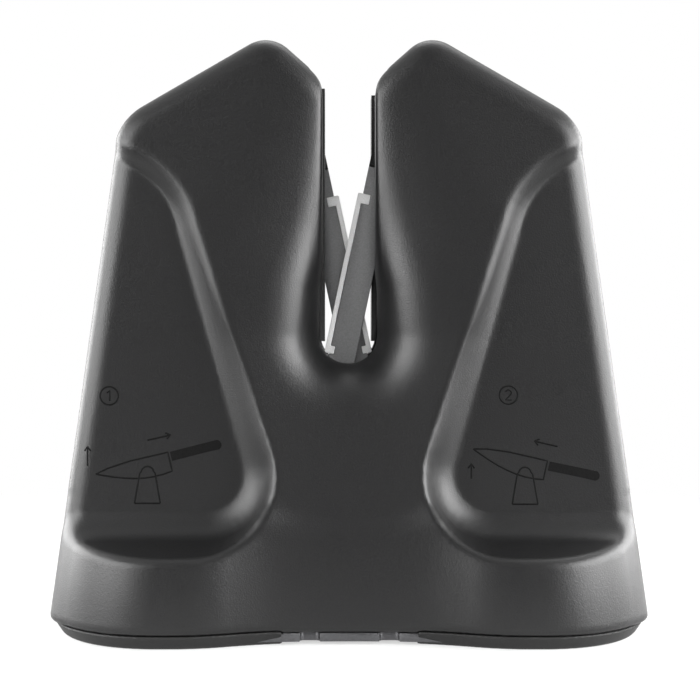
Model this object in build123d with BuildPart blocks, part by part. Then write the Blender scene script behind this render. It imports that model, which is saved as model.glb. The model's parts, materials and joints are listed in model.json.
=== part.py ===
from build123d import *
import math
import os

os.makedirs("parts", exist_ok=True)

# The frame: X across the front, Y from front to back, Z up, with the floor at zero.
# The shells, the frame and the two arms look the same after half a turn about Z.

# Outline of the body, seen from the front
side_foot_half_width = 70.6
side_shoulder_x = 54.4
side_shoulder_z = 120.5
shoulder_radius = 13.5
peak_x = 18.75
peak_z = 141.5
peak_radius = 7.7
slot_half_width = 6.3
slot_lip_z = 130.4
slot_lip_radius = 8.0
shell_foot_z = 2.9

# Depth of the body, seen from the side: the raised pad, and the slab under the grip recesses
pad_foot_half_depth = 31.5
pad_top_half_depth = 19.0
slab_foot_half_depth = 22.0
slab_top_half_depth = 17.2
edge_radius = 5.5

# Plinth that flares out into a lobe at each corner
lobe_half_depth = 38.5
lobe_lip_half_depth = 37.3
lobe_fade_half_depth = 27.0
lobe_flat = 3.6
lobe_corner_radius = 27.0
lip_corner_radius = 26.0
fade_corner_radius = 16.0
waist_half_depth = 31.6
waist_lip_half_depth = 30.4
waist_fade_half_depth = 25.5
lip_side_inset = 2.2
lip_z = 20.0
fade_side_inset = 8.6
fade_z = 50.0
concave_share = 0.68

# Grip recess at each end of the front and of the rear
recess_start_half_depth = 16.5
recess_flank_x = 39.2
recess_flank_z = 100.0
recess_flank_lean = 16.5
recess_corner_radius = 12.5
recess_top_radius = 22.0
recess_top_z = 113.4
recess_ledge_z = 25.2
recess_draft = 14.0

# Knife slot and the scoop round it
slot_centre_z = 70.0
scoop_radius = 20.0
scoop_start_depth = 5.5
scoop_arc_angle = 70.0
scoop_run = 22.0
scoop_forward_lean = 7.2

# Shell walls, and the clearances between pieces that don't move against each other
wall = 2.4
seam_gap = 0.1
piece_gap = 0.1
thread_gap = 0.02
screw_gap = 0.2
counterbore_gap = 0.4
screw_end_room = 1.0
window_top_z = 127.3
overrun = 60.0

# Steel base plate and the two rubber feet
plate_thickness = 2.0
plate_side_inset = 4.5
plate_waist_inset = 0.7
edge_notch_x = 9.0
edge_notch_width = 4.6
edge_notch_depth = 1.2
foot_floor = 0.7
foot_height = 4.5
foot_start_x = 15.3
foot_top_inset = 0.6
foot_taper = 17.0
foot_window_radius = 5.4

# Arms: each leans across the slot from a pivot low on the other side
arm_lean = 12.0
arm_swing = 5.0
crossing_z = 93.6
pivot_z = 22.0
arm_width = 6.6
arm_thickness = 5.0
arm_inner_y = 0.8
arm_length = 105.0
arm_hub_radius = 6.0
arm_tip_start = 90.5
arm_tip_bevel = 0.5
arm_tip_radius = 1.6
tang_width = 3.4
tang_thickness = 2.6
tang_end_gap = 2.0

# Carbide strip with a hook at each end
strip_thickness = 1.2
strip_start = 43.8
strip_end = 83.7
top_hook_length = 1.9
top_hook_height = 2.4
foot_hook_length = 1.1
foot_hook_height = 1.9
strip_gap = 0.03
strip_corner_radius = 0.4

# Pivot pins, bushes and their spacers
pin_radius = 2.5
bush_wall = 1.0
running_gap = 0.04
press_gap = 0.01
spacer_wall = 1.6
circlip_thickness = 0.8
circlip_width = 1.7
circlip_mouth = 2.4
groove_depth = 0.5
pin_end = 1.0

# Frame plates that carry the pivots, the stops and the springs
frame_gap_half = 9.0
frame_thickness = 2.0
frame_foot_half_width = 27.0
frame_waist_z = 57.5
upright_inner_x = 9.9
upright_outer_x = 17.5
frame_top_z = 127.0
frame_shoulder_z = 62.0
frame_step_z = 44.0
frame_flange_depth = 11.0
frame_flange_width = 36.0
frame_corner_radius = 2.0

# Stops
stop_radius = 1.5
stop_gap = 0.15
rest_stop_height = 30.0
outer_stop_height = 28.0

# Springs and their seats
spring_height = 18.3
spring_length = 18.0
spring_wire_radius = 0.4
spring_radius = 2.3
spring_turns = 7
quarters = 4
spring_end_gap = 0.1
seat_thickness = 3.0
seat_height = 8.6
peg_radius = 1.5
peg_length = 2.4
tenon_height = 5.0

# Blade guides that line the slot opposite each arm
guide_thickness = 2.2
guide_stand_out = 0.55
guide_flange = 6.5
guide_flange_thickness = 2.0
guide_foot_z = 68.5
guide_top_z = 129.6
guide_flange_foot_z = 86.0
guide_flange_top_z = 124.0
guide_seam_gap = 0.4
guide_hole_zs = (92.0, 116.0)
rivet_radius = 1.2
rivet_head_radius = 2.2
rivet_head_height = 0.9

# Spacer bars and the screws of the frame
bar_x = 21.0
bar_z = 14.0
bar_radius = 3.5
frame_screw_radius = 1.5
frame_screw_depth = 6.0
cap_head_radius = 2.8
cap_head_height = 1.8
drive_radius = 1.1
drive_depth = 1.0
cross_width = 1.1
cross_length = 3.3
frame_foot_screw_x = 12.0
frame_foot_screw_y = 16.0

# Screws that hold the plate to the shells, and the two shells together
base_screw_inset = 16.6
base_screw_y = 17.0
base_boss_radius = 4.2
base_boss_top_z = 17.0
base_screw_length = 12.0
base_screw_radius = 1.5
base_head_radius = 3.0
base_head_angle = 90.0
shell_screw_places = ((34.0, 12.5), (31.0, 121.0))
shell_boss_radius = 4.6
shell_screw_length = 22.0
shell_screw_radius = 1.5
shell_head_radius = 2.8
shell_head_height = 2.0
shell_seat_y = 13.0
rib_thickness = 2.0


# Places that follow from the sizes above
lobe_crest_x = side_foot_half_width - lobe_corner_radius - lobe_flat
lip_half_width = side_foot_half_width - lip_side_inset
fade_half_width = side_foot_half_width - fade_side_inset
base_screw_x = side_foot_half_width - base_screw_inset
plate_z = foot_floor + piece_gap
plate_top_z = plate_z + plate_thickness
shell_trim_z = foot_height + piece_gap
frame_foot_z = plate_top_z + piece_gap
frame_outer = frame_gap_half + frame_thickness
arm_outer_y = arm_inner_y + arm_thickness
arm_mid_y = arm_inner_y + arm_thickness / 2
bush_radius = pin_radius + running_gap + bush_wall
strip_face_u = -arm_width / 2 - strip_thickness
lean_angle = math.radians(arm_lean)
pivot_x = -(crossing_z - pivot_z) * math.tan(lean_angle) - strip_face_u / math.cos(lean_angle)
pin_half_length = frame_outer + circlip_thickness + piece_gap + pin_end
window_half_width = slot_half_width + wall + piece_gap
window_foot_z = slot_centre_z - window_half_width
guide_depth = frame_gap_half - piece_gap
guide_face_x = slot_half_width - guide_stand_out
guide_flange_end_x = guide_face_x + guide_thickness + guide_flange
guide_hole_x = (upright_inner_x + guide_flange_end_x) / 2
seat_u = arm_width / 2 + spring_length + spring_end_gap * 2
coil_rise = spring_length - spring_wire_radius * 2


def front_outline(inset):
    """The body seen from the front, drawn behind the body."""
    shoulder = (side_shoulder_x, side_shoulder_z)
    peak = (peak_x, peak_z)
    lip = (slot_half_width, slot_lip_z)
    foot = (side_foot_half_width, shell_foot_z)
    with BuildSketch(Plane.XZ.offset(-overrun)) as outline:
        with BuildLine():
            Polyline((0, shell_foot_z), foot, shoulder, peak, lip, (0, slot_lip_z))
            Line((0, slot_lip_z), (0, shell_foot_z))
        make_face()
        fillet(outline.vertices().sort_by_distance((*shoulder, 0))[0], shoulder_radius)
        fillet(outline.vertices().sort_by_distance((*peak, 0))[0], peak_radius)
        mirror(about=Plane.YZ)
        if inset:
            offset(amount=-inset, kind=Kind.INTERSECTION, mode=Mode.REPLACE)
    return outline.sketch


def side_outline(foot_half_depth, top_half_depth, inset):
    """A depth that tapers upwards, drawn left of the body."""
    lean = (foot_half_depth - top_half_depth) / (peak_z - shell_foot_z)
    low = foot_half_depth + lean * overrun - inset
    high = top_half_depth - lean * overrun - inset
    low_z = shell_foot_z - overrun
    high_z = peak_z + overrun
    with BuildSketch(Plane.YZ.offset(-side_foot_half_width - overrun)) as outline:
        with BuildLine():
            Polyline((-low, low_z), (low, low_z), (high, high_z), (-high, high_z), (-low, low_z))
        make_face()
    return outline.sketch


def tapered_block(foot_half_depth, top_half_depth, inset):
    """The front outline with a tapered depth, its front and rear edges rounded."""
    with BuildPart() as block:
        extrude(front_outline(inset), amount=overrun + overrun)
        extrude(
            side_outline(foot_half_depth, top_half_depth, inset),
            amount=(side_foot_half_width + overrun) * 2,
            mode=Mode.INTERSECT,
        )
        rims = block.faces().sort_by(Axis.Y)[0].edges() + block.faces().sort_by(Axis.Y)[-1].edges()
        rims = rims.filter_by(lambda rim: rim.center().Z > shell_foot_z + inset + edge_radius)
        rims = rims.filter_by(lambda rim: abs(rim.center().X) > slot_half_width)
        fillet(rims, edge_radius)
    return block.part


def dog_bone(height, half_width, lobe, waist, radius):
    """A plan of the plinth: a lobe at each corner and a waist in the middle."""
    turn_x = concave_share * lobe_crest_x
    turn_y = waist + concave_share * (lobe - waist)
    with BuildSketch(Plane.XY.offset(height)) as outline:
        with BuildLine():
            hollow = TangentArc((0, -waist), (turn_x, -turn_y), tangent=(1, 0))
            TangentArc((turn_x, -turn_y), (lobe_crest_x, -lobe), tangent=hollow % 1)
            Line((lobe_crest_x, -lobe), (half_width - radius, -lobe))
            TangentArc((half_width - radius, -lobe), (half_width, radius - lobe), tangent=(1, 0))
            Line((half_width, radius - lobe), (half_width, 0))
            mirror(about=Plane.XZ)
            mirror(about=Plane.YZ)
        make_face()
    return outline.sketch


def plinth(inset):
    """The flared foot of the body, which fades into the pad higher up."""
    levels = (
        (shell_foot_z, side_foot_half_width, lobe_half_depth, waist_half_depth, lobe_corner_radius),
        (lip_z, lip_half_width, lobe_lip_half_depth, waist_lip_half_depth, lip_corner_radius),
        (fade_z, fade_half_width, lobe_fade_half_depth, waist_fade_half_depth, fade_corner_radius),
    )
    with BuildPart() as foot:
        loft([
            dog_bone(height, width - inset, lobe - inset, waist - inset, radius - inset)
            for height, width, lobe, waist, radius in levels
        ])
    return foot.part


def recess(inset):
    """The front right grip recess, drawn larger for the cavity so that the wall keeps its thickness."""
    slope = math.tan(math.radians(recess_flank_lean))
    ledge = (recess_flank_x - (recess_flank_z - recess_ledge_z) * slope, recess_ledge_z)
    top = (recess_flank_x + (recess_top_z - recess_flank_z) * slope, recess_top_z)
    far_x = side_foot_half_width + overrun
    with BuildPart() as cutter:
        with BuildSketch(Plane.XZ.offset(recess_start_half_depth - inset)) as outline:
            with BuildLine():
                Polyline((far_x, recess_ledge_z), ledge, top, (far_x, recess_top_z), (far_x, recess_ledge_z))
            make_face()
            fillet(outline.vertices().sort_by_distance((*ledge, 0))[0], recess_corner_radius)
            fillet(outline.vertices().sort_by_distance((*top, 0))[0], recess_top_radius)
            if inset:
                offset(amount=inset, kind=Kind.INTERSECTION, mode=Mode.REPLACE)
        extrude(amount=lobe_half_depth, taper=-recess_draft)
    return cutter.part


def corner_trim(inset):
    """Clears the pad's low front right corner, so that the round corner of the plinth forms it."""
    near_x = side_foot_half_width - lobe_corner_radius - inset
    with BuildPart() as cutter:
        with BuildSketch(Plane.XZ.offset(recess_start_half_depth - inset)):
            with Locations((near_x, recess_ledge_z + recess_corner_radius)):
                Rectangle(overrun * 2, overrun * 2, align=(Align.MIN, Align.MAX))
        extrude(amount=overrun)
    return cutter.part


def scoop(inset):
    """The dish round the front of the knife slot. Its arc keeps its centre, so the wall stays even."""
    centre = (slot_half_width + scoop_radius, -scoop_start_depth)
    with BuildSketch(Plane.XY.offset(slot_centre_z)) as half:
        with BuildLine():
            Line((0, -scoop_start_depth), (slot_half_width + inset, -scoop_start_depth))
            arc = CenterArc(centre, scoop_radius - inset, 180, scoop_arc_angle)
            run = PolarLine(arc @ 1, scoop_run, direction=arc % 1)
            Polyline(run @ 1, ((run @ 1).X, -overrun), (0, -overrun), (0, -scoop_start_depth))
        make_face()
    lean = math.radians(scoop_forward_lean)
    with BuildPart() as dish:
        revolve(half.sketch, axis=Axis((0, 0, slot_centre_z), (0, 1, 0)), revolution_arc=180)
        extrude(half.sketch, amount=overrun + overrun, dir=(0, -math.sin(lean), math.cos(lean)))
        mirror(about=Plane.YZ)
    return dish.part


def knife_slot(inset):
    """The slot right through the body, with a round bottom."""
    width = (slot_half_width + inset) * 2
    with BuildPart() as slot:
        with BuildSketch(Plane.XZ.offset(-overrun)):
            with Locations((0, slot_centre_z)):
                Circle(width / 2)
                Rectangle(width, peak_z, align=(Align.CENTER, Align.MIN))
        extrude(amount=overrun + overrun)
    return slot.part


def slot_lips():
    """What rounds the lip at the top of each slot wall."""
    slope = math.atan2(peak_z - slot_lip_z, peak_x - slot_half_width)
    reach = slot_lip_radius * math.tan((math.pi / 2 - slope) / 2)
    wall_end = (slot_half_width, slot_lip_z - reach)
    slope_end = (slot_half_width + reach * math.cos(slope), slot_lip_z + reach * math.sin(slope))
    with BuildPart() as lips:
        with BuildSketch(Plane.XZ.offset(-overrun)):
            with BuildLine():
                TangentArc(wall_end, slope_end, tangent=(0, 1))
                Polyline(slope_end, (slope_end[0], slope_end[1] + overrun), (0, slope_end[1] + overrun))
                Polyline((0, slope_end[1] + overrun), (0, wall_end[1]), wall_end)
            make_face()
        extrude(amount=overrun + overrun)
        mirror(about=Plane.YZ)
    return lips.part


def at_each_corner(cutter):
    """A cutter drawn for the front right, and its copies for the other three corners."""
    right = (cutter, cutter.mirror(Plane.XZ))
    return right + tuple(side.mirror(Plane.YZ) for side in right)


def body_form(inset):
    """The body as one solid, or the cavity in it when it is drawn with the wall as its inset."""
    dish = scoop(inset)
    with BuildPart() as form:
        add(tapered_block(pad_foot_half_depth, pad_top_half_depth, inset))
        for cutter in at_each_corner(corner_trim(inset)):
            add(cutter, mode=Mode.SUBTRACT)
        add(plinth(inset))
        for cutter in at_each_corner(recess(inset)):
            add(cutter, mode=Mode.SUBTRACT)
        add(tapered_block(slab_foot_half_depth, slab_top_half_depth, inset))
        for cutter in (dish, dish.mirror(Plane.XZ), knife_slot(inset)):
            add(cutter, mode=Mode.SUBTRACT)
    return form.part


def plate_outline(height, gap):
    """Plan of the base plate at a height, grown by a gap for the pocket that it lies in."""
    return dog_bone(
        height,
        side_foot_half_width - plate_side_inset + gap,
        lobe_half_depth - plate_side_inset + gap,
        waist_half_depth - plate_waist_inset + gap,
        lobe_corner_radius - plate_side_inset + gap,
    )


def shell_half(side):
    """One half of the casing, front at side -1, with the windows that the arms swing through."""
    with BuildPart() as bosses:
        with BuildSketch(Plane.XZ.offset(-side * seam_gap / 2)):
            for x, z in shell_screw_places:
                with Locations((-x, z), (x, z)):
                    Circle(shell_boss_radius)
        extrude(amount=-side * overrun)
        with BuildSketch(Plane.XY.offset(plate_top_z + piece_gap)):
            with Locations((-base_screw_x, side * base_screw_y), (base_screw_x, side * base_screw_y)):
                Circle(base_boss_radius)
        extrude(amount=base_boss_top_z - plate_top_z)
        with BuildSketch(Plane.XY.offset(shell_trim_z)):
            with Locations((-base_screw_x, side * base_screw_y), (base_screw_x, side * base_screw_y)):
                rib_align = Align.MIN if side > 0 else Align.MAX
                Rectangle(rib_thickness, lobe_half_depth, align=(Align.CENTER, rib_align))
        extrude(amount=base_boss_top_z - shell_trim_z)
        add(outer_form, mode=Mode.INTERSECT)
    with BuildPart() as half:
        add(outer_form)
        add(cavity_form, mode=Mode.SUBTRACT)
        with BuildSketch(Plane.XY):
            with Locations((-foot_start_x - overrun, 0), (foot_start_x + overrun, 0)):
                Rectangle(overrun * 2, overrun * 2)
        extrude(amount=shell_trim_z, mode=Mode.SUBTRACT)
        add(bosses.part)
        with BuildSketch(Plane.XY):
            with Locations((0, side * (seam_gap / 2 + overrun / 2))):
                Rectangle((side_foot_half_width + overrun) * 2, overrun)
        extrude(amount=peak_z + overrun, mode=Mode.INTERSECT)
        for window_side, top in ((side, peak_z), (-side, window_top_z)):
            with BuildSketch(Plane.XZ.offset(-side * (frame_gap_half + piece_gap))):
                with Locations((window_side * window_half_width / 2, window_foot_z)):
                    Rectangle(window_half_width, top - window_foot_z, align=(Align.CENTER, Align.MIN))
            extrude(amount=side * overrun, mode=Mode.SUBTRACT)
        with BuildSketch(Plane.XY):
            with Locations((-base_screw_x, side * base_screw_y), (base_screw_x, side * base_screw_y)):
                Circle(base_screw_radius + thread_gap)
        extrude(amount=plate_z + base_screw_length + screw_end_room, mode=Mode.SUBTRACT)
    return half.part


def frame_half():
    """The front frame plate, with its foot flange and the holes for all that it carries."""
    with BuildPart() as plate:
        with BuildSketch(Plane.XZ.offset(frame_gap_half)):
            with BuildLine():
                Polyline(
                    (0, frame_foot_z),
                    (frame_foot_half_width, frame_foot_z),
                    (frame_foot_half_width, frame_step_z),
                    (upright_outer_x, frame_shoulder_z),
                    (upright_outer_x, frame_top_z),
                    (upright_inner_x, frame_top_z),
                    (upright_inner_x, frame_waist_z),
                    (0, frame_waist_z),
                )
                mirror(about=Plane.YZ)
            make_face()
        extrude(amount=frame_thickness)
        uprights = plate.edges().filter_by(Axis.Y)
        fillet(uprights.group_by(Axis.Z)[-1], frame_corner_radius)
        with BuildSketch(Plane.XY.offset(frame_foot_z)):
            with Locations((0, -frame_gap_half)):
                Rectangle(
                    frame_flange_width,
                    frame_thickness + frame_flange_depth,
                    align=(Align.CENTER, Align.MAX),
                )
        extrude(amount=frame_thickness)
        with BuildSketch(Plane.XY):
            for x in (-frame_foot_screw_x, frame_foot_screw_x):
                with Locations((x, -frame_foot_screw_y)):
                    Circle(base_screw_radius + thread_gap)
        extrude(amount=frame_foot_z + overrun, mode=Mode.SUBTRACT)
        with BuildSketch(Plane.XZ.offset(frame_gap_half)):
            with Locations((-pivot_x, pivot_z), (pivot_x, pivot_z)):
                Circle(pin_radius + press_gap)
            with Locations(rest_stop_place, (-rest_stop_place[0], rest_stop_place[1]), outer_stop_place):
                Circle(stop_radius + press_gap)
            with Locations((-bar_x, bar_z), (bar_x, bar_z)):
                Circle(frame_screw_radius + screw_gap)
            with Locations(*[(-guide_hole_x, z) for z in guide_hole_zs]):
                Circle(rivet_radius + press_gap)
            for turn in (1, -1):
                with Locations(Location((turn * seat_place[0], seat_place[1]), -turn * arm_lean)):
                    Rectangle(seat_thickness + piece_gap, tenon_height + piece_gap)
        extrude(amount=frame_thickness, mode=Mode.SUBTRACT)
    return plate.part


def countersunk_screws(places, length):
    """Countersunk screws that come up through the base plate."""
    head_height = (base_head_radius - base_screw_radius) / math.tan(math.radians(base_head_angle / 2))
    with BuildPart() as screws:
        for x, y in places:
            with Locations((x, y, plate_z)):
                Cylinder(base_screw_radius, length, align=(Align.CENTER, Align.CENTER, Align.MIN))
                Cone(
                    base_head_radius,
                    base_screw_radius,
                    head_height,
                    align=(Align.CENTER, Align.CENTER, Align.MIN),
                )
                for width, length in ((cross_width, cross_length), (cross_length, cross_width)):
                    Box(
                        width,
                        length,
                        drive_depth,
                        align=(Align.CENTER, Align.CENTER, Align.MIN),
                        mode=Mode.SUBTRACT,
                    )
    return screws.part


def arm_point(u, v, lean):
    """A place beside the front arm: u across it to the right, v up along it from its pivot."""
    angle = math.radians(lean)
    x = pivot_x + u * math.cos(angle) + v * math.sin(angle)
    return x, pivot_z + v * math.cos(angle) - u * math.sin(angle)


def arm_plane(y):
    """A plane across the depth at y, with its origin on the front pivot and its local Y up the arm."""
    angle = math.radians(arm_lean)
    return Plane(origin=(pivot_x, y, pivot_z), x_dir=(math.cos(angle), 0, -math.sin(angle)), z_dir=(0, -1, 0))


def spring_plane(u):
    """A plane square to the front spring, at u from the middle of the arm."""
    angle = math.radians(arm_lean)
    x, z = arm_point(u, spring_height, arm_lean)
    return Plane(origin=(x, -arm_mid_y, z), x_dir=(0, 1, 0), z_dir=(math.cos(angle), 0, -math.sin(angle)))


def coil(start_u):
    """The front spring: one unbroken coil of quarter turns, each arc running on from the last."""
    frame = spring_plane(start_u)
    steps = spring_turns * quarters

    def coil_point(step):
        angle = math.tau / quarters * step
        across = (spring_radius * math.cos(angle), spring_radius * math.sin(angle))
        return frame.from_local_coords((*across, spring_wire_radius + coil_rise * step / steps))

    heading = frame.from_local_coords((0, spring_radius * math.tau, coil_rise / spring_turns)) - frame.origin
    with BuildPart() as wire:
        with BuildLine() as path:
            for step in range(steps):
                arc = TangentArc(coil_point(step), coil_point(step + 1), tangent=heading)
                heading = arc % 1
        with BuildSketch(Plane(origin=path.line @ 0, z_dir=path.line % 0)):
            Circle(spring_wire_radius)
        sweep(path=path.wires()[0])
    least_gap = coil_rise / spring_turns - spring_wire_radius * 2
    print(f"gap between the turns of a spring {least_gap:.2f} mm")
    return wire.part


def turned(shape):
    """The same piece on the other side, after half a turn about Z."""
    return shape.rotate(Axis.Z, 180)


def save(shape, name):
    """Name one finished piece and write it."""
    shape.label = name
    export_step(shape, f"parts/{name}.step")


# Stops and seats of the front arm. Those of the rear arm lie half a turn away.
rest_stop_place = arm_point(-arm_width / 2 - stop_gap - stop_radius, rest_stop_height, arm_lean)
outer_stop_place = arm_point(arm_width / 2 + stop_gap + stop_radius, outer_stop_height, arm_lean + arm_swing)
seat_place = arm_point(seat_u + seat_thickness / 2, spring_height, arm_lean)

# Outer form and cavity of the casing
with BuildPart() as outer:
    add(body_form(0))
    add(slot_lips(), mode=Mode.SUBTRACT)
outer_form = outer.part
cavity_form = body_form(wall)

# Front shell, with blind holes for the screws that join the shells
with BuildPart() as front_shell:
    add(shell_half(-1))
    with BuildSketch(Plane.XZ.offset(seam_gap / 2)):
        for x, z in shell_screw_places:
            with Locations((-x, z), (x, z)):
                Circle(shell_screw_radius + thread_gap)
    extrude(amount=shell_screw_length - shell_seat_y + screw_end_room, mode=Mode.SUBTRACT)
save(front_shell.part, "front_shell")

# Rear shell, with counterbored holes for the same screws
with BuildPart() as rear_shell:
    add(shell_half(1))
    with BuildSketch(Plane.XZ):
        for x, z in shell_screw_places:
            with Locations((-x, z), (x, z)):
                Circle(shell_screw_radius + screw_gap)
    extrude(amount=-shell_seat_y, mode=Mode.SUBTRACT)
    with BuildSketch(Plane.XZ.offset(-shell_seat_y)):
        for x, z in shell_screw_places:
            with Locations((-x, z), (x, z)):
                Circle(shell_head_radius + counterbore_gap)
    extrude(amount=-overrun, mode=Mode.SUBTRACT)
save(rear_shell.part, "rear_shell")

with BuildPart() as shell_screws:
    for x, z in shell_screw_places:
        with BuildSketch(Plane.XZ.offset(-shell_seat_y)):
            with Locations((-x, z), (x, z)):
                Circle(shell_screw_radius)
        extrude(amount=shell_screw_length)
        with BuildSketch(Plane.XZ.offset(-shell_seat_y)):
            with Locations((-x, z), (x, z)):
                Circle(shell_head_radius)
        extrude(amount=-shell_head_height)
        with BuildSketch(Plane.XZ.offset(-shell_seat_y - shell_head_height)):
            with Locations((-x, z), (x, z)):
                RegularPolygon(drive_radius, 6)
        extrude(amount=drive_depth, mode=Mode.SUBTRACT)
save(shell_screws.part, "shell_screws")

# Steel base plate, countersunk from below and notched at its front and rear edges
base_screw_places = [(x, y) for x in (-base_screw_x, base_screw_x) for y in (-base_screw_y, base_screw_y)]
frame_foot_places = [
    (x, y)
    for x in (-frame_foot_screw_x, frame_foot_screw_x)
    for y in (-frame_foot_screw_y, frame_foot_screw_y)
]
with BuildPart() as base_plate:
    extrude(plate_outline(plate_z, 0), amount=plate_thickness)
    for x, y in base_screw_places + frame_foot_places:
        with Locations((x, y, plate_z)):
            Cylinder(base_screw_radius + screw_gap, overrun, mode=Mode.SUBTRACT)
            Cone(
                base_head_radius + screw_gap,
                base_screw_radius + screw_gap,
                (base_head_radius - base_screw_radius) / math.tan(math.radians(base_head_angle / 2)),
                align=(Align.CENTER, Align.CENTER, Align.MIN),
                mode=Mode.SUBTRACT,
            )
    plate_edge_y = waist_half_depth - plate_waist_inset
    with BuildSketch(Plane.XY):
        for x in (-edge_notch_x, edge_notch_x):
            with Locations((x, -plate_edge_y), (x, plate_edge_y)):
                SlotOverall(edge_notch_width, edge_notch_depth * 2)
    extrude(amount=overrun, mode=Mode.SUBTRACT)
save(base_plate.part, "base_plate")
save(countersunk_screws(base_screw_places, base_screw_length), "base_screws")
save(countersunk_screws(frame_foot_places, frame_foot_z + frame_thickness - plate_z), "frame_foot_screws")

# Rubber feet: each wraps one end of the plate and shows as a band under the shell
with BuildPart() as left_foot_pad:
    extrude(
        dog_bone(
            foot_height,
            side_foot_half_width - foot_top_inset,
            lobe_half_depth - foot_top_inset,
            waist_half_depth - foot_top_inset,
            lobe_corner_radius - foot_top_inset,
        ),
        amount=-foot_height,
        taper=foot_taper,
    )
    extrude(plate_outline(foot_floor, piece_gap), amount=foot_height, mode=Mode.SUBTRACT)
    with BuildSketch(Plane.XY):
        with Locations((-foot_start_x, 0)):
            Rectangle(overrun * 2, overrun * 2, align=(Align.MAX, Align.CENTER))
    extrude(amount=foot_height, mode=Mode.INTERSECT)
    with BuildSketch(Plane.XY):
        with Locations((-base_screw_x, -base_screw_y), (-base_screw_x, base_screw_y)):
            Circle(foot_window_radius)
    extrude(amount=foot_height, mode=Mode.SUBTRACT)
save(left_foot_pad.part, "left_foot_pad")
save(turned(left_foot_pad.part), "right_foot_pad")

# Frame plates, and the bars and screws that hold them apart
front_frame_plate = frame_half()
save(front_frame_plate, "front_frame_plate")
save(turned(front_frame_plate), "rear_frame_plate")

bar_half_length = frame_gap_half - piece_gap / 2
with BuildPart() as frame_spacer_bars:
    with BuildSketch(Plane.XZ.offset(-bar_half_length)):
        with Locations((-bar_x, bar_z), (bar_x, bar_z)):
            Circle(bar_radius)
            Circle(frame_screw_radius + thread_gap, mode=Mode.SUBTRACT)
    extrude(amount=bar_half_length * 2)
save(frame_spacer_bars.part, "frame_spacer_bars")

with BuildPart() as frame_screws:
    for side in (-1, 1):
        with BuildSketch(Plane.XZ.offset(-side * frame_outer)):
            with Locations((-bar_x, bar_z), (bar_x, bar_z)):
                Circle(frame_screw_radius)
        extrude(amount=side * (frame_thickness + frame_screw_depth))
        with BuildSketch(Plane.XZ.offset(-side * frame_outer)):
            with Locations((-bar_x, bar_z), (bar_x, bar_z)):
                Circle(cap_head_radius)
        extrude(amount=-side * cap_head_height)
        with BuildSketch(Plane.XZ.offset(-side * (frame_outer + cap_head_height))):
            with Locations((-bar_x, bar_z), (bar_x, bar_z)):
                RegularPolygon(drive_radius, 6)
        extrude(amount=side * drive_depth, mode=Mode.SUBTRACT)
save(frame_screws.part, "frame_screws")

# Blade guides: an angle that lines the slot wall and is riveted to a frame plate
with BuildPart() as right_blade_guide:
    with BuildSketch(Plane.XY.offset(guide_foot_z)):
        with Locations((guide_face_x, guide_seam_gap)):
            Rectangle(guide_thickness, guide_depth - guide_seam_gap, align=(Align.MIN, Align.MIN))
    extrude(amount=guide_top_z - guide_foot_z)
    with BuildSketch(Plane.XY.offset(guide_flange_foot_z)):
        with Locations((guide_face_x, guide_depth)):
            Rectangle(guide_thickness + guide_flange, guide_flange_thickness, align=(Align.MIN, Align.MAX))
    extrude(amount=guide_flange_top_z - guide_flange_foot_z)
    with BuildSketch(Plane.XZ):
        with Locations(*[(guide_hole_x, z) for z in guide_hole_zs]):
            Circle(rivet_radius + press_gap)
    extrude(amount=-overrun, mode=Mode.SUBTRACT)
save(right_blade_guide.part, "right_blade_guide")
save(turned(right_blade_guide.part), "left_blade_guide")

rivet_start_y = guide_depth - guide_flange_thickness - rivet_head_height
with BuildPart() as guide_rivets:
    for side in (-1, 1):
        with BuildSketch(Plane.XZ.offset(-side * rivet_start_y)):
            with Locations(*[(side * guide_hole_x, z) for z in guide_hole_zs]):
                Circle(rivet_radius)
        extrude(amount=-side * (frame_outer - rivet_start_y))
        with BuildSketch(Plane.XZ.offset(-side * rivet_start_y)):
            with Locations(*[(side * guide_hole_x, z) for z in guide_hole_zs]):
                Circle(rivet_head_radius)
        extrude(amount=-side * rivet_head_height)
        with BuildSketch(Plane.XZ.offset(-side * frame_outer)):
            with Locations(*[(side * guide_hole_x, z) for z in guide_hole_zs]):
                Circle(rivet_head_radius)
        extrude(amount=-side * rivet_head_height)
save(guide_rivets.part, "guide_rivets")

# Pivot pins with a groove at each end, their circlips and their spacers
with BuildPart() as left_pivot_pin:
    with BuildSketch(Plane.XZ.offset(-pin_half_length)):
        with Locations((pivot_x, pivot_z)):
            Circle(pin_radius)
    extrude(amount=pin_half_length * 2)
    chamfer(left_pivot_pin.edges().filter_by(GeomType.CIRCLE), groove_depth)
    for side in (-1, 1):
        with BuildSketch(Plane.XZ.offset(-side * frame_outer)):
            with Locations((pivot_x, pivot_z)):
                Circle(pin_radius)
                Circle(pin_radius - groove_depth, mode=Mode.SUBTRACT)
        extrude(amount=-side * (circlip_thickness + piece_gap), mode=Mode.SUBTRACT)
save(left_pivot_pin.part, "left_pivot_pin")
save(turned(left_pivot_pin.part), "right_pivot_pin")

circlip_bore = pin_radius - groove_depth + press_gap
with BuildPart() as pivot_circlips:
    for side in (-1, 1):
        for x in (-pivot_x, pivot_x):
            with BuildSketch(Plane.XZ.offset(-side * frame_outer)):
                with Locations((x, pivot_z)):
                    Circle(circlip_bore + circlip_width)
                    Circle(circlip_bore, mode=Mode.SUBTRACT)
                    Rectangle(
                        circlip_mouth,
                        pin_radius * 2,
                        align=(Align.CENTER, Align.MAX),
                        mode=Mode.SUBTRACT,
                    )
            extrude(amount=-side * circlip_thickness)
save(pivot_circlips.part, "pivot_circlips")

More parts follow.
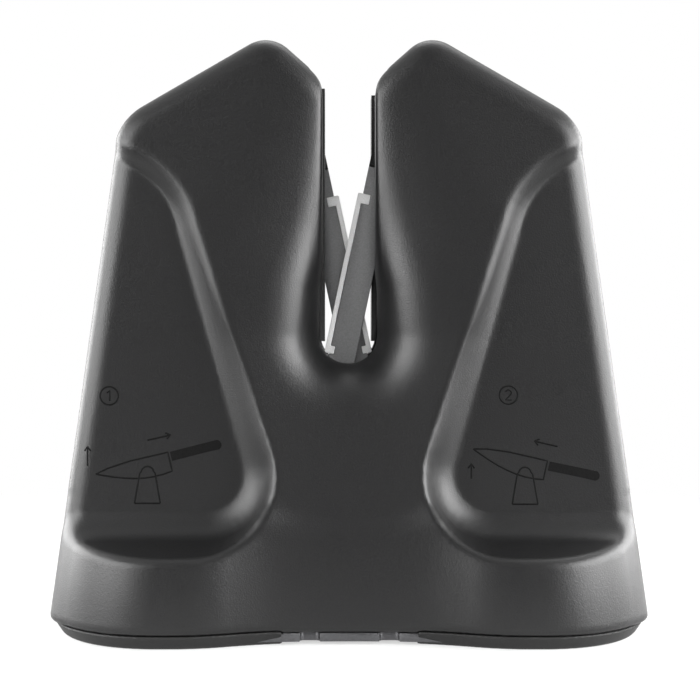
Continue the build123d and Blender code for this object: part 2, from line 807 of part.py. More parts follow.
spacer_spans = (
    (-bar_half_length, -arm_outer_y - piece_gap),
    (piece_gap - arm_inner_y, bar_half_length),
)
with BuildPart() as pivot_spacers:
    for near_y, far_y in spacer_spans:
        for x, start_y in ((pivot_x, near_y), (-pivot_x, -far_y)):
            with BuildSketch(Plane.XZ.offset(-start_y)):
                with Locations((x, pivot_z)):
                    Circle(pin_radius + running_gap + spacer_wall)
                    Circle(pin_radius + running_gap, mode=Mode.SUBTRACT)
            extrude(amount=near_y - far_y)
save(pivot_spacers.part, "pivot_spacers")

# Stops: a pin through both plates where each arm rests, and a short post where it ends its swing
with BuildPart() as rest_stop_pins:
    with BuildSketch(Plane.XZ.offset(-frame_outer)):
        with Locations(rest_stop_place, (-rest_stop_place[0], rest_stop_place[1])):
            Circle(stop_radius)
    extrude(amount=frame_outer * 2)
save(rest_stop_pins.part, "rest_stop_pins")

with BuildPart() as outer_stop_posts:
    for side in (-1, 1):
        with BuildSketch(Plane.XZ.offset(-side * arm_inner_y)):
            with Locations((-side * outer_stop_place[0], outer_stop_place[1])):
                Circle(stop_radius)
        extrude(amount=-side * (frame_outer - arm_inner_y))
save(outer_stop_posts.part, "outer_stop_posts")

# Spring seats: a bar between the plates, with a tenon in each and a peg for the spring
with BuildPart() as right_spring_seat:
    seat_plane = arm_plane(-bar_half_length)
    with BuildSketch(seat_plane):
        with Locations((seat_u, spring_height)):
            Rectangle(seat_thickness, seat_height, align=(Align.MIN, Align.CENTER))
    extrude(amount=-bar_half_length * 2)
    with BuildSketch(arm_plane(-frame_outer)):
        with Locations((seat_u, spring_height)):
            Rectangle(seat_thickness, tenon_height, align=(Align.MIN, Align.CENTER))
    extrude(amount=-frame_outer * 2)
    with BuildSketch(spring_plane(seat_u)):
        Circle(peg_radius)
    extrude(amount=-peg_length)
save(right_spring_seat.part, "right_spring_seat")
save(turned(right_spring_seat.part), "left_spring_seat")

# Springs that press each arm back against its rest stop
front_spring = coil(arm_width / 2 + spring_end_gap)
save(front_spring, "front_spring")
save(turned(front_spring), "rear_spring")

# Steel arms with a hub, two notches for the hooks, a tang for the tip and a peg for the spring
with BuildPart() as front_arm:
    with BuildSketch(arm_plane(-arm_inner_y)):
        Circle(arm_hub_radius)
        Rectangle(arm_width, arm_tip_start, align=(Align.CENTER, Align.MIN))
        Circle(bush_radius + press_gap, mode=Mode.SUBTRACT)
        with Locations((-arm_width / 2, strip_end + strip_gap)):
            Rectangle(
                top_hook_length + strip_gap,
                top_hook_height + strip_gap * 2,
                align=(Align.MIN, Align.MAX),
                mode=Mode.SUBTRACT,
            )
        with Locations((-arm_width / 2, strip_start - strip_gap)):
            Rectangle(
                foot_hook_length + strip_gap,
                foot_hook_height + strip_gap * 2,
                align=(Align.MIN, Align.MIN),
                mode=Mode.SUBTRACT,
            )
    extrude(amount=arm_thickness)
    with BuildSketch(arm_plane(tang_thickness / 2 - arm_mid_y)):
        with Locations((0, arm_tip_start)):
            Rectangle(tang_width, arm_length - arm_tip_start - tang_end_gap, align=(Align.CENTER, Align.MIN))
    extrude(amount=tang_thickness)
    with BuildSketch(spring_plane(arm_width / 2)):
        Circle(peg_radius)
    extrude(amount=peg_length)
save(front_arm.part, "front_arm")
save(turned(front_arm.part), "rear_arm")

with BuildPart() as front_arm_tip:
    with BuildSketch(arm_plane(-arm_inner_y)) as tip_outline:
        with Locations((0, arm_tip_start + piece_gap)):
            Rectangle(arm_width, arm_length - arm_tip_start, align=(Align.CENTER, Align.MIN))
        fillet(tip_outline.vertices().group_by(Axis.Y)[-1], arm_tip_radius)
    extrude(amount=arm_thickness)
    chamfer(front_arm_tip.faces().sort_by(Axis.Y)[0].edges(), arm_tip_bevel)
    with BuildSketch(arm_plane(tang_thickness / 2 + piece_gap - arm_mid_y)):
        with Locations((0, arm_tip_start)):
            Rectangle(
                tang_width + piece_gap * 2,
                arm_length - arm_tip_start - tang_end_gap + piece_gap,
                align=(Align.CENTER, Align.MIN),
            )
    extrude(amount=tang_thickness + piece_gap * 2, mode=Mode.SUBTRACT)
save(front_arm_tip.part, "front_arm_tip")
save(turned(front_arm_tip.part), "rear_arm_tip")

# Carbide strips, hooked into the notches of their arm at both ends
with BuildPart() as front_carbide_strip:
    with BuildSketch(arm_plane(-arm_inner_y)) as strip_outline:
        with Locations((strip_face_u, strip_start)):
            Rectangle(
                strip_thickness - strip_gap,
                strip_end - strip_start,
                align=(Align.MIN, Align.MIN),
            )
            Rectangle(strip_thickness + foot_hook_length, foot_hook_height, align=(Align.MIN, Align.MIN))
        with Locations((strip_face_u, strip_end)):
            Rectangle(strip_thickness + top_hook_length, top_hook_height, align=(Align.MIN, Align.MAX))
        corners = strip_outline.vertices().filter_by(lambda corner: abs(corner.X - strip_face_u) < strip_gap)
        fillet(corners, strip_corner_radius)
    extrude(amount=arm_thickness)
save(front_carbide_strip.part, "front_carbide_strip")
save(turned(front_carbide_strip.part), "rear_carbide_strip")

# Bronze bushes between each arm and its pin
with BuildPart() as front_arm_bush:
    with BuildSketch(arm_plane(-arm_inner_y)):
        Circle(bush_radius)
        Circle(pin_radius + running_gap, mode=Mode.SUBTRACT)
    extrude(amount=arm_thickness)
save(front_arm_bush.part, "front_arm_bush")
save(turned(front_arm_bush.part), "rear_arm_bush")
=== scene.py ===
import json
import math

import bmesh
import bpy
import numpy as np
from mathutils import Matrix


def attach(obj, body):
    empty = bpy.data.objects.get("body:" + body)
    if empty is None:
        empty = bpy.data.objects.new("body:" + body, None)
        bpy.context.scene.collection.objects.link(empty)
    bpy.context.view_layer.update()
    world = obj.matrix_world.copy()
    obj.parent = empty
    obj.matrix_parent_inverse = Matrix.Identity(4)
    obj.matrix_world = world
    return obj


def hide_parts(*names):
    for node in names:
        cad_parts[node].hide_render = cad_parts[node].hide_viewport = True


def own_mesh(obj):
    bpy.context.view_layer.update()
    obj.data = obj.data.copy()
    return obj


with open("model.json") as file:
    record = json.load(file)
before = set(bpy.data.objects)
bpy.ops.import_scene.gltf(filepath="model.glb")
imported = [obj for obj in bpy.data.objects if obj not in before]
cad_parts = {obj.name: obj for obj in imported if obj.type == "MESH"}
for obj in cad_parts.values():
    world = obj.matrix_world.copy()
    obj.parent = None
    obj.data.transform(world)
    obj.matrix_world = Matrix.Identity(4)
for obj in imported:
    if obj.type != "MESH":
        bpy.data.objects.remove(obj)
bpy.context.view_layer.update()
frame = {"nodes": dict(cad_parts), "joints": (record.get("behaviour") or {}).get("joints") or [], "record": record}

import openvdb
from mathutils import Vector

# Lengths are in millimetres up to the point where a mesh is made, as in the drawing of the part.
# X runs across the front, Y from front to back, Z up. The casing is the same in all four quarters.
mm = 0.001

# Outline of the casing, seen from the front
foot_half_width = 70.4
shoulder = (54.4, 120.5)
shoulder_radius = 13.5
peak = (18.75, 141.5)
peak_radius = 7.7
slot_half_width = 6.3
slot_centre_z = 70.0
lip_z = 130.4
lip_radius = 8.0
foot_z = 2.9
top_z = 141.5

# Depths of the raised pad and of the slab under the recesses, at the foot and at the top
pad_depths = (31.5, 19.0)
slab_depths = (22.0, 17.2)
edge_radius = 5.5

# The plinth, at three levels: its foot, its lip and where it fades into the pad
plinth_levels = (2.9, 20.0, 50.0)
plinth_widths = (70.4, 68.4, 62.0)
lobe_depths = (38.4, 37.3, 27.0)
waist_depths = (31.3, 30.1, 25.2)
corner_radii = (27.0, 26.0, 16.0)
lobe_crest_x = 40.0
concave_share = 0.68
plinth_blend = 3.0
plinth_lowest_z = -10.0
plinth_top_radius = 2.0
pad_end_x = 43.6
pad_end_z = 33.0
pad_end_radius = 2.0

# Grip recess, and the ridge round it
recess_start_y = 16.5
flank_place = (39.2, 100.0)
flank_lean = 16.5
recess_corner_radius = 12.5
recess_top_radius = 22.0
recess_top_z = 113.4
ledge_z = 25.2
recess_draft = 14.0
ridge_radius = 1.6
recess_fillet = 6.0

# Scoop round the slot
scoop_radius = 20.0
scoop_start_y = 5.5
scoop_angle = 70.0
scoop_run = 22.0
scoop_lean = 7.2
scoop_blends = (8.0, 4.0)
scoop_turn_z = 80.0
scoop_splay = 9.2
scoop_splay_run = 17.0
scoop_splay_power = 1.5
scoop_sink = 4.5
scoop_sink_run = 11.0
scoop_sink_power = 2
scoop_blend_levels = (85.0, 125.0)
slot_edges = (1.2, 0.6)

# Walls, seams and the windows that the arms swing through
wall = 2.4
seam_half_gap = 0.05
rim_radius = 0.4
shell_foot_radius = 1.5
shell_trim_z = 3.3
plate_half_length = 15.3
window_half_width = 8.8
window_half_depth = 9.1
window_foot_z = 61.2
window_top_z = 127.3

# Bosses and holes inside the casing
joint_screws = ((34.0, 12.5), (31.0, 121.0))
joint_boss_radius = 4.6
joint_hole_radii = (1.52, 1.7)
joint_hole_depth = 10.0
counterbore_radius = 3.2
counterbore_y = 13.0
base_screw = (54.0, 17.0)
base_boss_radius = 4.2
base_boss_top_z = 17.0
base_hole_radius = 1.52
base_hole_top_z = 13.8
rib_half_thickness = 1.0
boss_fillet = 0.6

# Rubber feet
pad_top_z = 3.22
pad_top_inset = 0.4
pad_taper = 33.0
pad_edge_radius = 0.9
pad_floor = 0.7
plate_inset = 4.5
plate_gap = 0.1
foot_window_radius = 5.4

# Engraved marks: a stroke is a thin tube, and a filled shape is a thin plate; both are coloured with painted shade
# for the grooves
stroke_radius = 0.27
stroke_sink = 0.17
shape_rise = 0.07
shape_sink = 0.25
picture_tilt = 13.0
numeral_ring_radius = 2.1
blade_length = 17.5
blade_belly = 3.6
blade_spine = 1.2
block_shift = 5.0
draw_stroke = [(-4.0, 5.0), (1.5, 5.0)]
arrow_head = 1.3
arrow_barb_angle = 35.0

# Springs
spring_length = 18.0
spring_radius = 2.3
wire_radius = 0.4
spring_end_gap = 0.04
spring_turns = 6
spring_start_u = 3.4
spring_height = 18.3
spring_y = 3.3
arm_lean = 12.0

# Cells and reach of the grids that the shells and feet are made on, with a margin past each cut face
shell_voxel = 0.85
shell_reach = (73.0, 40.0, 142.0)
foot_voxel = 0.5
foot_reach = (72.0, 39.0, 5.5)
grid_margin = 1.0

# The noise textures keep mostly to this range
noise_range = (0.3, 0.7)

# The studio, in metres and as shares of full white
floor_half_size = 2.5
floor_own_white = 0.55
floor_front_reach = 0.12
shadow_reach = (0.09, 0.3)
studio_front = 0.2
studio_front_fade = (-0.85, 0.15)
studio_matt = 0.25
lamps_aim = (0.0, 0.0, 0.07)

# The camera, in metres, and the photograph's frame and focal length in pixels
camera_place = (-0.0033, -0.340, 0.070)
picture_width = 700
focal_pixels = 1369
shift_pixels = (15, -15)


def rounded_and(a, b, radius):
    """What lies in both of two distances, with a round edge where they meet."""
    corner = np.hypot(np.maximum(radius + a, 0.0), np.maximum(radius + b, 0.0))
    return np.minimum(-radius, np.maximum(a, b)) + corner


def rounded_or(a, b, radius):
    """What lies in either of two distances, with a fillet where they meet."""
    return -rounded_and(-a, -b, radius)


def soft_or(a, b, width):
    """What lies in either of two distances, melted together over a width."""
    share = np.clip(0.5 + 0.5 * (b - a) / width, 0.0, 1.0)
    return b + (a - b) * share - width * share * (1.0 - share)


def soft_and(a, b, width):
    """What lies in both of two distances, melted together over a width."""
    return -soft_or(-a, -b, width)


def arc_points(centre, radius, start, end, steps):
    """Points along an arc, with its angles in degrees."""
    angles = np.radians(np.linspace(start, end, steps))
    return [(centre[0] + radius * math.cos(a), centre[1] + radius * math.sin(a)) for a in angles]


def filleted(corners, steps=12):
    """A closed outline from corners (x, y, radius), each rounded by an arc of its radius."""
    outline = []
    for i, (x, y, radius) in enumerate(corners):
        here = np.array((x, y))
        if not radius:
            outline.append(tuple(here))
            continue
        before = np.array(corners[i - 1][:2]) - here
        after = np.array(corners[(i + 1) % len(corners)][:2]) - here
        before = before / np.linalg.norm(before)
        after = after / np.linalg.norm(after)
        half = math.acos(float(before @ after)) / 2
        reach = radius / math.tan(half)
        middle = (before + after) / np.linalg.norm(before + after)
        centre = here + middle * radius / math.sin(half)
        first = here + before * reach - centre
        last = here + after * reach - centre
        start = math.atan2(first[1], first[0])
        sweep = (math.atan2(last[1], last[0]) - start + math.pi) % math.tau - math.pi
        outline += arc_points(centre, radius, math.degrees(start), math.degrees(start + sweep), steps)
    return outline


class Plan:
    """Distance to a closed outline, negative inside it, kept on a fine flat grid."""

    # Cells from the grid's end at which a place still has a cell beyond it
    short_of_end = 1.001

    def __init__(self, outline, low, high, step=0.25):
        self.low = low
        self.step = step
        points = np.array(outline)
        u, v = np.meshgrid(
            np.arange(low[0], high[0] + step, step),
            np.arange(low[1], high[1] + step, step),
            indexing="ij",
        )
        nearest = np.full(u.shape, np.inf)
        inside = np.zeros(u.shape, bool)
        for (start_u, start_v), (end_u, end_v) in zip(points, np.roll(points, -1, axis=0)):
            run_u, run_v = end_u - start_u, end_v - start_v
            squared = run_u**2 + run_v**2
            if squared == 0:
                continue
            along = np.clip(((u - start_u) * run_u + (v - start_v) * run_v) / squared, 0.0, 1.0)
            gap = (u - start_u - along * run_u) ** 2 + (v - start_v - along * run_v) ** 2
            nearest = np.minimum(nearest, gap)
            if run_v != 0:
                crosses = (start_v > v) != (end_v > v)
                inside ^= crosses & (u < start_u + (v - start_v) * run_u / run_v)
        self.grid = (np.where(inside, -1.0, 1.0) * np.sqrt(nearest)).astype(np.float32)

    def __call__(self, u, v):
        rows, columns = self.grid.shape
        row = np.clip((u - self.low[0]) / self.step, 0, rows - self.short_of_end)
        column = np.clip((v - self.low[1]) / self.step, 0, columns - self.short_of_end)
        row, column = np.broadcast_arrays(row, column)
        i, j = row.astype(int), column.astype(int)
        s, t = row - i, column - j
        near = self.grid[i, j] * (1 - s) + self.grid[i + 1, j] * s
        far = self.grid[i, j + 1] * (1 - s) + self.grid[i + 1, j + 1] * s
        return near * (1 - t) + far * t


# The outlines reach this far past the casing, so that only the edges meant to cut it do
beyond = 60.0

# Corners of the grids for the outlines in the front view, and for the plan of the scoop
view_low = (-4.0, -4.0)
view_high = (84.0, 150.0)
slot_view_low = (-4.0, 35.0)
slot_view_step = 0.2
plan_low = (-1.0, -12.0)
plan_high = (84.0, 60.0)


def casing_outline():
    """The right half of the front view, with the slot left to its own outline."""
    side_slope = (foot_half_width - shoulder[0]) / (shoulder[1] - foot_z)
    lip_slope = (peak[1] - lip_z) / (peak[0] - slot_half_width)
    inner = slot_half_width - beyond / 2
    return Plan(filleted([
        (-beyond, -beyond, 0),
        (foot_half_width + side_slope * (foot_z + beyond), -beyond, 0),
        (*shoulder, shoulder_radius),
        (*peak, peak_radius),
        (inner, lip_z - lip_slope * beyond / 2, 0),
        (-beyond, lip_z - lip_slope * beyond / 2, 0),
    ]), view_low, view_high)


def slot_outline():
    """The slot: a round bottom, straight walls and a round lip that runs into the inner slope."""
    slope = math.degrees(math.atan2(peak[1] - lip_z, peak[0] - slot_half_width))
    reach = lip_radius * math.tan(math.radians(90 - slope) / 2)
    lip = arc_points((slot_half_width + lip_radius, lip_z - reach), lip_radius, 180, 90 + slope, 12)
    bottom = arc_points((0, slot_centre_z), slot_half_width, -90, 0, 16)
    low_z = slot_centre_z - slot_half_width
    high_z = lip_z + beyond
    outline = [(-beyond, low_z), *bottom, *lip, (lip[-1][0], high_z), (-beyond, high_z)]
    return Plan(outline, slot_view_low, view_high, slot_view_step)


def recess_outline():
    """The right grip recess, open to the side."""
    slope = math.tan(math.radians(flank_lean))
    ledge_x = flank_place[0] - (flank_place[1] - ledge_z) * slope
    top_x = flank_place[0] + (recess_top_z - flank_place[1]) * slope
    far_x = foot_half_width + beyond
    return Plan(filleted([
        (far_x, ledge_z, 0),
        (ledge_x, ledge_z, recess_corner_radius),
        (top_x, recess_top_z, recess_top_radius),
        (far_x, recess_top_z, 0),
    ]), view_low, view_high)


def scoop_outline():
    """Half the plan of the scoop, with its depth from the middle of the casing."""
    centre = (slot_half_width + scoop_radius, scoop_start_y)
    arc = arc_points(centre, scoop_radius, 180, 180 - scoop_angle, 24)
    heading = math.radians(scoop_angle)
    end_x = arc[-1][0] + scoop_run * math.sin(heading)
    end_y = arc[-1][1] + scoop_run * math.cos(heading)
    outline = [(-beyond, -beyond), (slot_half_width, -beyond), *arc]
    outline += [(end_x, end_y), (end_x, beyond * 2), (-beyond, beyond * 2)]
    return Plan(outline, plan_low, plan_high)


outline_plan = casing_outline()
slot_plan = slot_outline()
recess_plan = recess_outline()
scoop_plan = scoop_outline()


def taper(depths, z):
    """A depth that falls evenly from the foot to the top."""
    return depths[0] + (depths[1] - depths[0]) * (z - foot_z) / (top_z - foot_z)


def through(values, z):
    """A smooth curve through three values at the plinth's levels."""
    low, middle, high = plinth_levels
    z = np.clip(z, plinth_lowest_z, high)
    at_low = (z - middle) * (z - high) / ((low - middle) * (low - high))
    at_middle = (z - low) * (z - high) / ((middle - low) * (middle - high))
    at_high = (z - low) * (z - middle) / ((high - low) * (high - middle))
    return values[0] * at_low + values[1] * at_middle + values[2] * at_high


def dog_bone(ax, ay, z, inset=0.0):
    """Plan of the plinth at a height: a lobe at each corner and a waist in the middle."""
    share = np.clip(ax / lobe_crest_x, 0.0, 1.0)
    hollow = share < concave_share
    swell = np.where(hollow, share**2 / concave_share, 1 - (1 - share) ** 2 / (1 - concave_share))
    steepness = np.where(hollow, 2 * share / concave_share, 2 * (1 - share) / (1 - concave_share))
    waist, lobe = through(waist_depths, z), through(lobe_depths, z)
    slope = steepness / lobe_crest_x * (lobe - waist)
    front = (ay - waist - (lobe - waist) * swell) / np.sqrt(1 + slope**2)
    end = ax - through(plinth_widths, z)
    return rounded_and(front + inset, end + inset, through(corner_radii, z) - inset)


def casing(x, y, z):
    """Distance to the outer form of the casing."""
    ax, ay = np.abs(x), np.abs(y)
    pad = ay - taper(pad_depths, z)
    slab = ay - taper(slab_depths, z)
    plinth = rounded_and(dog_bone(ax, ay, z), z - plinth_levels[2], plinth_top_radius)
    pad = np.where(z < pad_end_z, rounded_and(pad, ax - pad_end_x, pad_end_radius), pad)
    block = soft_or(pad, plinth, plinth_blend)
    draft = math.radians(recess_draft)
    recess = (recess_plan(ax, z) - (ay - recess_start_y) * math.tan(draft)) * math.cos(draft)
    block = rounded_and(block, -np.maximum(recess, recess_start_y - ay), ridge_radius)
    depth = rounded_or(block, slab, recess_fillet)
    body = rounded_and(outline_plan(ax, z), depth, edge_radius)
    rise = np.clip(z - slot_centre_z, 0.0, scoop_turn_z - slot_centre_z)
    over = np.maximum(z - scoop_turn_z, 0.0)
    splay = scoop_splay * (1.0 - np.exp(-((over / scoop_splay_run) ** scoop_splay_power)))
    sink = scoop_sink * (1.0 - np.exp(-((over / scoop_sink_run) ** scoop_sink_power)))
    radius = np.where(z < slot_centre_z, np.hypot(ax, z - slot_centre_z), ax + splay)
    scoop = scoop_plan(radius, ay - rise * math.tan(math.radians(scoop_lean)) + sink)
    body = soft_and(body, -scoop, np.interp(z, scoop_blend_levels, scoop_blends))
    return rounded_and(body, -slot_plan(ax, z), np.interp(z, scoop_blend_levels, slot_edges))


def bosses(ax, ay, z):
    """Distance to the screw bosses and their ribs, before the outer form trims them."""
    found = np.hypot(ax - base_screw[0], ay - base_screw[1]) - base_boss_radius
    found = np.maximum(found, z - base_boss_top_z)
    rib = np.maximum(np.abs(ax - base_screw[0]) - rib_half_thickness, base_screw[1] - ay)
    found = np.minimum(found, np.maximum(rib, z - base_boss_top_z))
    for screw_x, screw_z in joint_screws:
        found = np.minimum(found, np.hypot(ax - screw_x, z - screw_z) - joint_boss_radius)
    return found


def screw_holes(ax, ay, z, side):
    """Distance to the holes for the screws, which differ between the two shells."""
    found = np.hypot(ax - base_screw[0], ay - base_screw[1]) - base_hole_radius
    found = np.maximum(found, z - base_hole_top_z)
    for screw_x, screw_z in joint_screws:
        off = np.hypot(ax - screw_x, z - screw_z)
        if side < 0:
            found = np.minimum(found, np.maximum(off - joint_hole_radii[0], ay - joint_hole_depth))
        else:
            found = np.minimum(found, off - joint_hole_radii[1])
            found = np.minimum(found, np.maximum(off - counterbore_radius, counterbore_y - ay))
    return found


def shell(side):
    """Distance to one half of the casing, the front one at side -1."""

    def distance(x, y, z):
        ax, ay = np.abs(x), np.abs(y)
        outer = casing(x, y, z)
        floor = np.where(ax > plate_half_length, shell_trim_z, foot_z) - z
        solid = rounded_and(outer, floor, shell_foot_radius)
        hollow = rounded_and(solid, -(outer + wall), rim_radius)
        boss = np.maximum(bosses(ax, ay, z), np.maximum(outer + wall / 2, floor))
        hollow = rounded_or(hollow, boss, boss_fillet)
        top = np.where(x * side > 0, top_z + beyond, window_top_z)
        window = np.maximum(np.maximum(ax - window_half_width, ay - window_half_depth), window_foot_z - z)
        hollow = rounded_and(hollow, -np.maximum(window, z - top), rim_radius)
        hollow = rounded_and(hollow, -screw_holes(ax, ay, z, side), rim_radius / 2)
        return rounded_and(hollow, seam_half_gap - side * y, rim_radius)

    return distance


def foot(x, y, z):
    """Distance to both rubber feet: each wraps one end of the base plate."""
    ax, ay = np.abs(x), np.abs(y)
    lean = math.radians(pad_taper)
    inset = pad_top_inset + (pad_top_z - z) * math.tan(lean)
    outer = rounded_and(dog_bone(ax, ay, foot_z, inset), -z, pad_edge_radius)
    tray = np.maximum(dog_bone(ax, ay, foot_z, plate_inset - plate_gap), pad_floor - z)
    window = np.hypot(ax - base_screw[0], ay - base_screw[1]) - foot_window_radius
    body = rounded_and(outer, z - pad_top_z, rim_radius / 2)
    body = rounded_and(body, -tray, rim_radius / 2)
    body = rounded_and(body, -window, rim_radius / 2)
    return rounded_and(body, plate_half_length - ax, rim_radius)


def gradient(distance, points):
    """The direction away from the surface, from differences of the distance."""
    reach = 0.05
    x, y, z = points.T.astype(np.float32)
    across = distance(x + reach, y, z) - distance(x - reach, y, z)
    along = distance(x, y + reach, z) - distance(x, y - reach, z)
    up = distance(x, y, z + reach) - distance(x, y, z - reach)
    return np.stack((across, along, up), axis=1) / (2 * reach)


def smooth(mesh):
    """Shades every face of a mesh smooth."""
    mesh.polygons.foreach_set("use_smooth", [True] * len(mesh.polygons))


def mesh_of(name, distance, low, high, voxel):
    """A mesh from a distance: its zero surface on a grid, with each point then moved onto the surface."""
    far_off = 3.0
    least_steepness = 0.25
    xs, ys, zs = (np.arange(a, b + voxel, voxel, dtype=np.float32) for a, b in zip(low, high))
    field = distance(xs[:, None, None], ys[None, :, None], zs[None, None, :]).astype(np.float32)
    grid = openvdb.FloatGrid(background=far_off)
    grid.copyFromArray(field)
    points, triangles, quads = grid.convertToPolygons(isovalue=0.0, adaptivity=0.0)
    points = points * voxel + np.array(low)
    for _ in range(2):
        away = gradient(distance, points)
        steepness = np.maximum((away**2).sum(axis=1), least_steepness)
        off = distance(*points.T.astype(np.float32)) / steepness
        points = points - np.clip(off[:, None] * away, -voxel / 2, voxel / 2)
    mesh = bpy.data.meshes.new(name)
    mesh.from_pydata((points * mm).tolist(), [], triangles.tolist() + quads.tolist())
    mesh.validate()
    smooth(mesh)
    mesh.update()
    return mesh


def mesh_from(curve, name):
    """The mesh of a curve with its bevel, shaded smooth."""
    holder = bpy.data.objects.new(name + "_curve", curve)
    mesh = bpy.data.meshes.new_from_object(holder)
    mesh.name = name
    bpy.data.objects.remove(holder)
    smooth(mesh)
    return mesh


def in_scene(name, mesh, finish):
    """A mesh as a piece in the scene, with its material."""
    piece = bpy.data.objects.new(name, mesh)
    bpy.context.collection.objects.link(piece)
    mesh.materials.clear()
    mesh.materials.append(finish)
    return piece


def new_material(name, base_color, roughness, metallic=0.0):
    """A principled material with its uniform values set, and its node tree to build on."""
    material = bpy.data.materials.new(name)
    material.use_nodes = True
    shader = material.node_tree.nodes["Principled BSDF"]
    shader.inputs["Base Color"].default_value = (*base_color, 1.0)
    shader.inputs["Roughness"].default_value = roughness
    shader.inputs["Metallic"].default_value = metallic
    return material, shader


def noise(tree, size, detail=2.0):
    """Noise in the piece's own coordinates, with grains of a size in millimetres."""
    place = tree.nodes.new("ShaderNodeTexCoord")
    grain = tree.nodes.new("ShaderNodeTexNoise")
    grain.inputs["Scale"].default_value = 1.0 / (size * mm)
    grain.inputs["Detail"].default_value = detail
    tree.links.new(place.outputs["Object"], grain.inputs["Vector"])
    return grain


def mapped(tree, value, start, end, low, high, kind="LINEAR"):
    """A value of a node tree, mapped from one range onto another."""
    ranged = tree.nodes.new("ShaderNodeMapRange")
    ranged.interpolation_type = kind
    ranged.inputs["From Min"].default_value = start
    ranged.inputs["From Max"].default_value = end
    ranged.inputs["To Min"].default_value = low
    ranged.inputs["To Max"].default_value = high
    tree.links.new(value, ranged.inputs["Value"])
    return ranged.outputs["Result"]


def uneven_gloss(tree, shader, grain, low, high):
    """Spreads the roughness between two values by a noise."""
    spread = mapped(tree, grain.outputs["Fac"], *noise_range, low, high)
    tree.links.new(spread, shader.inputs["Roughness"])


def bump(tree, shader, grain, depth):
    """Raises the surface by a noise, up to a depth in millimetres."""
    raised = tree.nodes.new("ShaderNodeBump")
    raised.inputs["Strength"].default_value = 1.0
    raised.inputs["Distance"].default_value = depth * mm
    tree.links.new(grain.outputs["Fac"], raised.inputs["Height"])
    tree.links.new(raised.outputs["Normal"], shader.inputs["Normal"])


def tinted(tree, shader, grain, dark, light):
    """Colours the surface between two tones by a noise."""
    tones = tree.nodes.new("ShaderNodeValToRGB")
    for element, place, tone in zip(tones.color_ramp.elements, noise_range, (dark, light)):
        element.position = place
        element.color = (*tone, 1.0)
    tree.links.new(grain.outputs["Fac"], tones.inputs["Fac"])
    tree.links.new(tones.outputs["Color"], shader.inputs["Base Color"])


def shell_plastic():
    """Black moulded plastic with a fine spark-eroded texture."""
    material, shader = new_material("shell_plastic", (0.006, 0.006, 0.0062), 0.38)
    tree = material.node_tree
    grain = noise(tree, size=0.35, detail=3.0)
    tinted(tree, shader, grain, dark=(0.004, 0.004, 0.0041), light=(0.0085, 0.0085, 0.0088))
    uneven_gloss(tree, shader, grain, low=0.33, high=0.43)
    bump(tree, shader, grain, depth=0.05)
    return material


def engraving_painted_shade():
    """The engraved marks, coloured near black with little gloss: painted shade that stands in for the shade inside
    real engraved grooves, as the marks here stand a little proud of the face instead of being cut into it.
    """
    material, shader = new_material("engraving_painted_shade", (0.003, 0.003, 0.003), 0.7)
    shader.inputs["Specular IOR Level"].default_value = 0.12
    tree = material.node_tree
    grain = noise(tree, size=0.5)
    tinted(tree, shader, grain, dark=(0.002, 0.002, 0.002), light=(0.005, 0.005, 0.005))
    bump(tree, shader, grain, depth=0.01)
    return material


def rubber():
    """Black rubber, matt and slightly uneven."""
    material, shader = new_material("foot_rubber", (0.008, 0.008, 0.008), 0.6)
    tree = material.node_tree
    grain = noise(tree, size=0.7, detail=3.0)
    tinted(tree, shader, grain, dark=(0.005, 0.005, 0.005), light=(0.011, 0.011, 0.011))
    bump(tree, shader, grain, depth=0.03)
    return material


def satin_metal(name, base_color, roughness, grain_size=0.25, metallic=1.0):
    """Metal with fine grinding marks."""
    dark_share, light_share = 0.86, 1.12
    smooth_share, rough_share = 0.8, 1.2
    material, shader = new_material(name, base_color, roughness, metallic)
    tree = material.node_tree
    grain = noise(tree, grain_size, detail=3.0)
    dark = tuple(dark_share * value for value in base_color)
    light = tuple(min(1.0, light_share * value) for value in base_color)
    tinted(tree, shader, grain, dark, light)
    uneven_gloss(tree, shader, grain, roughness * smooth_share, min(1.0, roughness * rough_share))
    bump(tree, shader, grain, depth=0.008)
    return material


def painted(name, base_color, roughness):
    """Satin paint or moulded plastic with a faint orange peel."""
    dark_share, light_share = 0.8, 1.25
    material, shader = new_material(name, base_color, roughness)
    tree = material.node_tree
    grain = noise(tree, size=0.6)
    dark = tuple(dark_share * value for value in base_color)
    light = tuple(light_share * value for value in base_color)
    tinted(tree, shader, grain, dark, light)
    bump(tree, shader, grain, depth=0.01)
    return material


def dress(node, material):
    """Gives a CAD node its material."""
    piece = frame["nodes"][node]
    piece.data.materials.clear()
    piece.data.materials.append(material)


def eased(node, material, width):
    """Stands in for a CAD node that shows: the same shape, with its sharp edges broken."""
    same_place = 1e-7
    flat, sharp_edge, sharp_shade = (math.radians(angle) for angle in (2, 40, 35))
    record = frame["record"]
    mesh = frame["nodes"][node].data.copy()
    mesh.name = node + "_eased"
    work = bmesh.new()
    work.from_mesh(mesh)
    bmesh.ops.remove_doubles(work, verts=work.verts, dist=same_place)
    bmesh.ops.dissolve_limit(work, angle_limit=flat, verts=work.verts, edges=work.edges)
    sharp = [
        edge for edge in work.edges
        if len(edge.link_faces) == 2 and edge.calc_face_angle() > sharp_edge
    ]
    bmesh.ops.bevel(
        work, geom=sharp, offset=width * mm, offset_type="OFFSET", segments=2, profile=0.5,
        affect="EDGES", clamp_overlap=True,
    )
    bmesh.ops.triangulate(work, faces=[face for face in work.faces if len(face.verts) > 4])
    work.to_mesh(mesh)
    work.free()
    smooth(mesh)
    mesh.set_sharp_from_angle(angle=sharp_shade)
    piece = in_scene(node + "_eased", mesh, material)
    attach(piece, next(body for body, nodes in record["behaviour"]["bodies"].items() if node in nodes))
    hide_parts(node)


